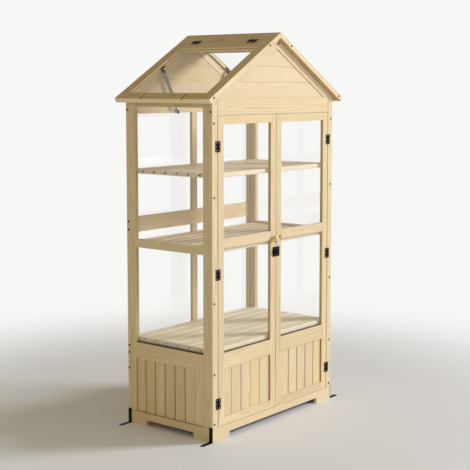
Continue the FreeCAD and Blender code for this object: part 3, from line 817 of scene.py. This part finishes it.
# The panels' boards, with the width that shows of each and the way that the row runs.
panels = zip(board_nodes, (0.064, 0.064, 0.076, 0.073, 0.073), (Y, Y, X, X, -X))
rows = [(node, cover, across, Z, PANEL_BOARD) for node, cover, across in panels]
shelves = zip(shelf_nodes, (BASE_BOARD, SHELF_BOARD, SHELF_BOARD))
rows += [(node, SHELF_COVER, Y, X, shape) for node, shape in shelves]
for row in rows:
    piece = board_row(*row)
    print(piece.name, len(piece.data.polygons), "faces")

# %% [markdown]
# ## Turned knobs
# A knob is turned on a lathe from one blank, with its grain along the axis, so its face is end
# grain. A profile is spun about that axis with bmesh, which gives even rings of faces, and a
# subdivision level smooths it. The same knob serves both doors, moved to each one's place.

# %% Spin the knobs
ROUND_STEPS = 32


def ring(work, radius, height, steps):
    turns = (2 * math.pi * i / steps for i in range(steps))
    return [work.verts.new((radius * math.cos(a), radius * math.sin(a), height)) for a in turns]


def band(work, lower, upper):
    """Faces between two rings of vertices. A pole is a ring of one."""
    steps = max(len(lower), len(upper))
    lower, upper = (rim * (steps // len(rim)) for rim in (lower, upper))
    for i in range(steps):
        j = (i + 1) % steps
        work.faces.new(list(dict.fromkeys((lower[i], lower[j], upper[j], upper[i]))))


def spun(name, profile):
    """A closed shape of revolution about Z. profile is (radius, height) from pole to pole."""
    mesh = bpy.data.meshes.new(name)
    with edited(mesh) as work:
        rings = [ring(work, r, height, ROUND_STEPS if r else 1) for r, height in profile]
        for lower, upper in zip(rings, rings[1:]):
            band(work, lower, upper)
        bmesh.ops.recalc_face_normals(work, faces=work.faces)
        for face in work.faces:
            face.smooth = True
    return mesh


KNOB_BOARD = 0.37  # both knobs are from one blank
KNOB_PROFILE = [
    (0, 0), (0.0075, 0), (0.0078, 0.001), (0.0074, 0.006), (0.0082, 0.0095), (0.0112, 0.013),
    (0.0147, 0.0158), (0.0158, 0.0185), (0.0157, 0.0212), (0.0146, 0.0243), (0.0112, 0.0266),
    (0.006, 0.0277), (0, 0.028)]


def turned_knob(node):
    low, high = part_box(node)
    middle_x, middle_z = (low.x + high.x) / 2, (low.z + high.z) / 2
    mesh = spun(node + "_turned", KNOB_PROFILE)
    front_of_door = Matrix.Translation((middle_x, high.y, middle_z))
    mesh.transform(front_of_door @ Matrix.Rotation(math.radians(90), 4, "X"))
    piece = new_piece(node + "_turned", mesh, PLANED_SPRUCE)
    smooth = piece.modifiers.new("smooth", "SUBSURF")
    smooth.levels = smooth.render_levels = 1
    settle(piece)
    places = np.array([v.co for v in piece.data.vertices])
    store(piece.data, "grain", places[:, [1, 0, 2]] - np.array([high.y, middle_x, middle_z]))
    store(piece.data, "board", [KNOB_BOARD] * len(places))
    return stand_for(piece, node)


for node in knob_nodes:
    print(turned_knob(node).name, [round(v * 1000, 1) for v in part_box(node)[0]])

# %% [markdown]
# ## Hinges, latch, brackets and anchors
# These are pressed and bent from steel strip, so their edges are only just rounded. They are
# dressed as the timbers are, with a far smaller easing. The sheets keep their own solids and only
# take the clear material.

# %% Dress the hardware
for node in nodes:
    if slot_of[node] == "clear_pane":
        set_materials(nodes[node].data, ROOF_SHEET if node.startswith("lid_") else CLEAR_SHEET)
    if slot_of[node] == "black_steel" or node == "strut_foot_brackets":
        finish = STRUT_ROD if node == "strut_foot_brackets" else BLACK_POWDER
        piece = dress(node, finish, STEEL_EASING, segments=1)
        print(piece.name, len(piece.data.polygons), "faces")

# %% [markdown]
# ## Gas struts
# A gas strut is a painted tube, rolled in at its open end round a seal, with a polished rod. At
# both ends a nylon socket snaps over a ball stud. Round things are spun from a profile, as the
# knobs were, then turned onto the line between the strut's two pivots, which the joints give.

# %% Spin the struts
joints = {j["name"]: j for j in frame["joints"]}
EYE_R, CREASE = 0.008, math.radians(40)
TUBE = [
    (0, 0.012), (0.0075, 0.012), (0.009, 0.0135), (0.009, 0.1905), (0.0085, 0.194),
    (0.0072, 0.1968), (0.0052, 0.1985), (0.0042, 0.200), (0, 0.200)]
ROD = [(0, 0.199), (0.004, 0.199), (0.004, 0.2205), (0, 0.2205)]
SOCKET = [
    (0, 0.0), (0.0045, 0.0), (0.0048, 0.0075), (0.0062, 0.009), (0.0062, 0.0125), (0, 0.0125)]
EYE = [
    (0, -0.004), (0.0072, -0.004), (EYE_R, -0.0032), (EYE_R, 0.0032), (0.0072, 0.004), (0, 0.004)]


def spun_on(profile, start, direction):
    """A spun mesh, turned so that its axis runs from start in a direction."""
    mesh = spun("spun", profile)
    turn = Z.rotation_difference(direction).to_matrix().to_4x4()
    mesh.transform(Matrix.Translation(start) @ turn)
    return mesh


def joined(name, parts):
    """One piece from several meshes with their own materials."""
    mesh = bpy.data.meshes.new(name)
    materials = list(dict.fromkeys(material for _, material in parts))
    set_materials(mesh, *materials)
    with edited(mesh) as work:
        for part, material in parts:
            first = len(work.faces)
            work.from_mesh(part)
            work.faces.ensure_lookup_table()
            for face in work.faces[first:]:
                face.material_index = materials.index(material)
    mesh.set_sharp_from_angle(angle=CREASE)
    return new_piece(name, mesh)


def strut(side):
    name = "strut_" + side
    top = Vector(joints[name + "_swing"]["pos_m"])
    down = Vector(joints[name + "_stroke"]["axis"]).normalized()
    low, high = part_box(name + "_rod")
    foot = Vector((high.x - EYE_R if side == "left" else low.x + EYE_R, top.y, low.z + EYE_R))
    for node, end, inward, profile, finish in (
            (name + "_cylinder", top, down, TUBE, STRUT_PAINT),
            (name + "_rod", foot, -down, ROD, STRUT_ROD)):
        stand_for(joined(node + "_spun", [
            (spun_on(EYE, end, Y), BLACK_NYLON), (spun_on(SOCKET, end, inward), BLACK_NYLON),
            (spun_on(profile, top, down), finish)]), node)
    return (foot - top).length


for side in ("left", "right"):
    print(side, "strut", round(strut(side) * 1000, 1), "mm between pivots")

# %% [markdown]
# ## Screws
# Dozens of small countersunk screws hold the frames, hinges and anchors. Only the head shows: a
# shallow disc with a cross recess. One head is built with bmesh, with a few dozen faces, and
# Geometry Nodes puts a copy at each point, faces it the way that the point says, and turns its
# cross by chance, as a hand leaves it. One piece is made for each body and finish.

# %% The screw tree
def screw_head(name):
    """A head of radius 1 lying in the XY plane, its face up, with a cross recess."""
    arm, half, top, sink, steps = 0.55, 0.13, 0.16, 0.13, 20
    outline = []
    for turn in range(4):
        a = turn * math.pi / 2
        for x, y in ((half, -half), (arm, -half), (arm, half)):
            outline.append((x * math.cos(a) - y * math.sin(a), x * math.sin(a) + y * math.cos(a)))
    mesh = bpy.data.meshes.new(name)
    with edited(mesh) as work:
        rims = [ring(work, *rim, steps) for rim in ((0.80, -0.35), (1.0, 0.02), (0.90, 0.14))]
        for lower, upper in zip(rims, rims[1:]):
            band(work, lower, upper)
        work.faces.new(list(reversed(rims[0])))
        cross = [work.verts.new((x, y, top)) for x, y in outline]
        floor = [work.verts.new((x * 0.8, y * 0.8, top - sink)) for x, y in outline]
        band(work, cross, floor)
        work.faces.new(floor)
        bounds = [
            work.edges.get((loop[i - 1], loop[i])) for loop in (rims[-1], cross)
            for i in range(len(loop))]
        bmesh.ops.triangle_fill(work, edges=bounds, use_beauty=True)
        bmesh.ops.recalc_face_normals(work, faces=work.faces)
    return bpy.data.objects.new(name, mesh)


def screw_tree():
    tree, given = group_tree("screws", {"Head": "Object", "Seed": "Int", "Finish": "Material"})
    facing, radius = (
        add(tree, "GeometryNodeInputNamedAttribute", {"Name": name}, data_type=kind)
        for name, kind in (("facing", "FLOAT_VECTOR"), ("radius", "FLOAT")))
    aim = add(tree, "FunctionNodeAlignRotationToVector", {"Vector": facing}, axis="Z")
    spin = add(tree, "FunctionNodeRandomValue", {"Seed": given["Seed"]}, data_type="FLOAT")
    turn = add(tree, "FunctionNodeAxisAngleToRotation", {
        "Axis": (0, 0, 1), "Angle": times(tree, spin.outputs[1], math.pi)})
    both = add(tree, "FunctionNodeRotateRotation", {
        "Rotation": aim, "Rotate By": turn}, rotation_space="LOCAL")
    head = add(tree, "GeometryNodeObjectInfo", {"Object": given["Head"], "As Instance": True})
    placed = add(tree, "GeometryNodeInstanceOnPoints", {
        "Points": given["Geometry"], "Instance": head.outputs["Geometry"],
        "Rotation": both, "Scale": vector(tree, radius, radius, radius)})
    real = add(tree, "GeometryNodeRealizeInstances", {"Geometry": placed})
    done = add(tree, "GeometryNodeSetMaterial", {"Geometry": real, "Material": given["Finish"]})
    add(tree, "NodeGroupOutput", {"Geometry": done})
    return tree


SCREW_HEAD = screw_head("screw_head")
SCREWS = screw_tree()
print("screw head", len(SCREW_HEAD.data.polygons), "faces")

# %% [markdown]
# The places come from the joints they hold: posts to base boards and headers, frames to the side
# frames behind them, rakes and lid rails, three in each hinge leaf, four in each half of the latch
# and two in each anchor. Each place is a point, the way that it faces and the head's radius.

# %% Where the screws go
WOOD_HEAD, ANCHOR_HEAD, HINGE_HEAD = 0.0056, 0.0044, 0.0027
NAIL_HEAD, LATCH_HEAD = 0.0026, 0.0021
LEAF, LATCH, LATCH_Z = 0.0015, 0.002, 0.853  # the plates' thicknesses, and the latch's height
half_wide, half_deep = 0.49, 0.273
SIDES = ((-1, "left"), (1, "right"))
LEAF_HOLES = ((0.0085, -0.018), (0.0130, 0.0), (0.0085, 0.018))
DOOR_HINGES, LID_HINGES, LID_HINGE_LINE = (0.180, 0.794, 1.392), (-0.180, 0.180), 0.083
screws = {}


def screw(body, place, facing, radius):
    finish = ZINC_SCREW if radius == HINGE_HEAD else BLACK_SCREW
    found = screws.setdefault((body, finish), [])
    found.append((Vector(place), Vector(facing).normalized(), radius))


def slope_place(sx, s, out, y):
    """A point s down the slope from the ridge, and out from the roof's plane."""
    x = s * math.cos(PITCH) + out * math.sin(PITCH)
    return Vector((sx * x, y, RIDGE - s * math.sin(PITCH) + out * math.cos(PITCH)))


def frame_screws():
    ends = [(0.476, z, WOOD_HEAD) for z in (0.086, 0.324, 0.660, 1.156, 1.499)]
    ends += [(0.0165, 1.8745, WOOD_HEAD), (0.345, 1.672, NAIL_HEAD)]
    for sx in (-1, 1):
        for sy in (-1, 1):
            for x, z, radius in ends:
                screw("cabinet", (sx * x, sy * half_deep, z), (0, sy, 0), radius)
        for y, heights in ((0.264, (0.277, 0.356, 0.391, 0.969, 1.008, 1.555)), (-0.264, (1.552,))):
            for z in heights:
                screw("cabinet", (sx * half_wide, y, z), (sx, 0, 0), WOOD_HEAD)
        for sy in (-1, 1):
            for z in (0.028, 0.058):
                screw("cabinet", (sx * 0.4925, sy * 0.263, z), (sx, 0, 0), ANCHOR_HEAD)


def hinge_screws():
    for sx, side in SIDES:
        pivot = joints["door_" + side + "_hinge"]["pos_m"]
        for z in DOOR_HINGES:
            for out, up in LEAF_HOLES:
                for body, way in (("cabinet", 1), ("door_" + side, -1)):
                    place = (pivot[0] + way * sx * out, -half_deep - LEAF, z + up)
                    screw(body, place, (0, -1, 0), HINGE_HEAD)
        facing = (sx * math.sin(PITCH), 0, math.cos(PITCH))
        for y in LID_HINGES:
            for out, along in LEAF_HOLES:
                for body, way in (("cabinet", -1), ("lid_" + side, 1)):
                    place = slope_place(sx, LID_HINGE_LINE + way * out, LEAF, y + along)
                    screw(body, place, facing, HINGE_HEAD)


def lid_screws():
    for sx, side in SIDES:
        for s in (0.109, 0.596):
            for sy in (-1, 1):
                place = slope_place(sx, s, -0.012, sy * (half_roof - END_SINK))
                screw("lid_" + side, place, (0, sy, 0), WOOD_HEAD)


def latch_screws():
    for sx, side in SIDES:
        for z in (-0.0185, 0.0185):
            for x in (0.0065, 0.0235):
                place = (sx * x, -half_deep - LATCH, LATCH_Z + z)
                screw("door_" + side, place, (0, -1, 0), LATCH_HEAD)


frame_screws()
hinge_screws()
lid_screws()
latch_screws()
print({body + ", " + finish.name: len(found) for (body, finish), found in screws.items()})

# %% Set the screws
for (body, finish), found in screws.items():
    name = body + "_" + finish.name + "_screws"
    mesh = bpy.data.meshes.new(name)
    mesh.from_pydata([place for place, _, _ in found], [], [])
    store(mesh, "facing", [facing for _, facing, _ in found])
    store(mesh, "radius", [radius for _, _, radius in found])
    piece = new_piece(name, mesh)
    run_tree(piece, SCREWS, {"Head": SCREW_HEAD, "Seed": len(found), "Finish": finish})
    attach(piece, body)
    print(name, len(piece.data.polygons), "faces")

# %% [markdown]
# ## Floor, light and camera
# The greenhouse stands on a plain pale floor that fades to white behind it. One large lamp from
# the front right lights the doors, as the sun does in the picture, so low that it just grazes the
# left lid. A wide, weak one in front softens its shadows, and a dim, warm one from the left keeps
# the shaded side readable. The white behind is only seen, and adds no light to the object.

# %% The floor
BACKDROP = "#F7F7F6"
FLOOR_REACH, FADE_FROM, FADE_TO = 40.0, 0.9, 3.2


def sight_ray(tree):
    """1 for rays that show the backdrop: the camera's, off shiny things and through sheets."""
    rays = add(tree, "ShaderNodeLightPath").outputs
    direct = maths(tree, "MAXIMUM", rays["Is Camera Ray"], rays["Is Transmission Ray"])
    return maths(tree, "MAXIMUM", direct, rays["Is Glossy Ray"])


def floor_material():
    material, tree = new_material("pale_matt_floor")
    place = add(tree, "ShaderNodeTexCoord").outputs["Object"]
    rough = times(tree, noise(tree, place, 40.0, 3.0), 0.1, 0.8)
    paint = add(tree, "ShaderNodeBsdfPrincipled", {
        "Base Color": colour("#E6EAF2"), "Roughness": rough, "Specular IOR Level": 0.2})
    glow = add(tree, "ShaderNodeEmission", {"Color": colour(BACKDROP), "Strength": 1.0})
    away = add(tree, "ShaderNodeVectorMath", {0: place}, operation="LENGTH").outputs["Value"]
    fade = rise(tree, away, FADE_FROM, FADE_TO, "SMOOTHERSTEP")
    seen = times(tree, fade, sight_ray(tree))
    shader = add(tree, "ShaderNodeMixShader", {0: seen, 1: paint, 2: glow})
    finish_material(tree, shader)
    return material


def floor():
    mesh = bpy.data.meshes.new("floor")
    square = ((-1, -1), (1, -1), (1, 1), (-1, 1))
    corners = [(x * FLOOR_REACH, y * FLOOR_REACH, 0) for x, y in square]
    mesh.from_pydata(corners, [], [(0, 1, 2, 3)])
    piece = new_piece("floor", mesh, floor_material())
    return piece


print(floor().name)

# %% The world and the lamps
def world_light():
    world = bpy.data.worlds.new("pale_studio")
    bpy.context.scene.world = world
    world.use_nodes = True
    tree = world.node_tree
    tree.nodes.clear()
    soft = add(tree, "ShaderNodeBackground", {"Color": colour("#FFF0CC"), "Strength": 0.35})
    seen = add(tree, "ShaderNodeBackground", {"Color": colour(BACKDROP), "Strength": 1.0})
    mix = add(tree, "ShaderNodeMixShader", {0: sight_ray(tree), 1: soft, 2: seen})
    add(tree, "ShaderNodeOutputWorld", {"Surface": mix})


def lamp(name, place, target, size, power, code):
    data = bpy.data.lights.new(name, "AREA")
    data.size = size
    data.energy = power
    data.color = colour(code)[:3]
    light = new_piece(name, data)
    light.location = place
    light.rotation_euler = (Vector(target) - light.location).to_track_quat("-Z", "Y").to_euler()


world_light()
lamp("key_lamp", (12.1, -11.2, 8.13), (0, 0, 0.95), 4.0, 2400, "#FBFAFF")
lamp("front_lamp", (2.5, -9.0, 4.5), (0, 0, 0.9), 5.0, 110, "#FDFCFF")
lamp("fill_lamp", (-5.2, -1.0, 2.6), (0, 0, 0.9), 2.6, 20, "#FFEBC8")

# %% [markdown]
# The camera stands where the photographer stood: 4.4 m to the left and 3.6 m in front, at eye
# height, with a long lens. A camera that is nearly level keeps the posts upright, so the picture
# is framed with a small vertical shift as well as a slight tilt.

# %% The camera
def camera():
    data = bpy.data.cameras.new("camera")
    data.sensor_width = 36.0
    data.lens = 85.916
    data.shift_y = -0.08
    data.clip_end = 200.0
    cam = new_piece("camera", data)
    turn, tilt = math.radians(51.182), math.radians(5.76)
    cam.location = (-4.4169, -3.5667, 1.6777)
    forward = Vector((
        math.sin(turn) * math.cos(tilt), math.cos(turn) * math.cos(tilt), -math.sin(tilt)))
    cam.rotation_euler = forward.to_track_quat("-Z", "Y").to_euler()
    bpy.context.scene.camera = cam
    return cam


print("camera lens", camera().data.lens)
bpy.context.scene.view_settings.view_transform = "Standard"
